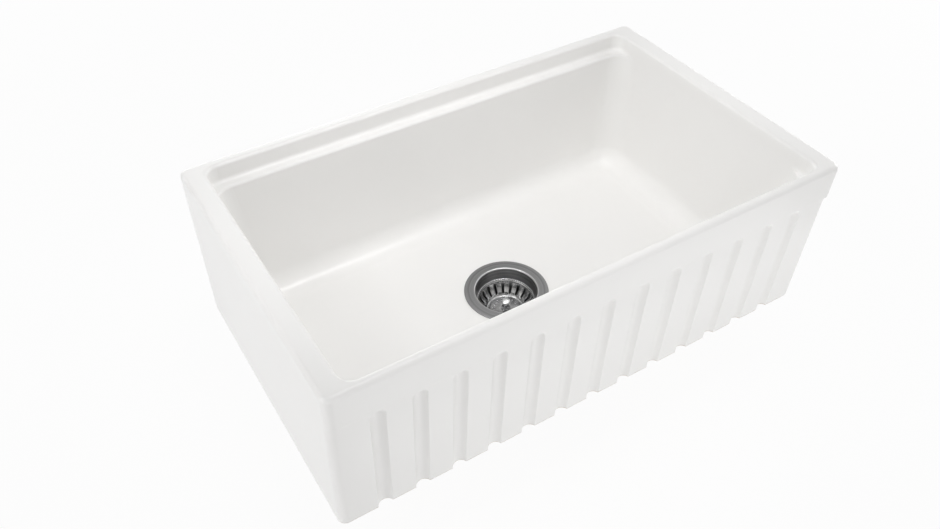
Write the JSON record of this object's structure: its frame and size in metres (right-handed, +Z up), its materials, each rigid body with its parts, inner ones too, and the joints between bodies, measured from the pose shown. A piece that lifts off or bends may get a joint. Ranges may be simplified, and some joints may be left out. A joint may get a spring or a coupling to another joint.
{
  "type": "apron front kitchen sink",
  "caption": "Farmhouse kitchen sink: a deep glazed basin with a fluted apron and an inner ledge for sliding boards, and a lift-out basket strainer clamped into its drain.",
  "frame": {"origin": "middle of the basin's flat underside", "axes": "+Z up, -Y out of the apron towards the person at the sink, +X to the right of someone facing the apron, along the sink's length"},
  "size_m": [0.762, 0.4572, 0.4216],
  "materials": {
    "white_glaze": "gloss",
    "dark_steel": "brushed",
    "plain_steel": "satin",
    "chromed_tube": "polished",
    "brass": "satin",
    "black_rubber": "matte",
    "white_sealant": "matte",
    "white_plastic": "matte",
    "pressed_fibre": "matte"
  },
  "bodies": {
    "basin": {"fireclay_basin": "white_glaze", "strainer_body": "dark_steel", "flange_seal": "white_sealant", "under_gasket": "black_rubber", "friction_ring": "pressed_fibre", "lock_nut": "brass", "outlet_spud": "brass", "crossbar": "plain_steel", "detent_clip": "plain_steel", "tailpiece_washer": "white_plastic", "coupling_nut": "brass", "tailpiece": "chromed_tube"},
    "basket": {"basket_shell": "dark_steel", "basket_knob": "dark_steel", "basket_post": "plain_steel", "stopper": "black_rubber", "stopper_washer": "plain_steel", "stopper_nut": "plain_steel"}
  },
  "joints": [
    {"name": "basket_lift", "type": "slide", "parent": "basin", "child": "basket", "axis": [0, 0, 1], "range_m": [0, 0.32]}
  ]
}
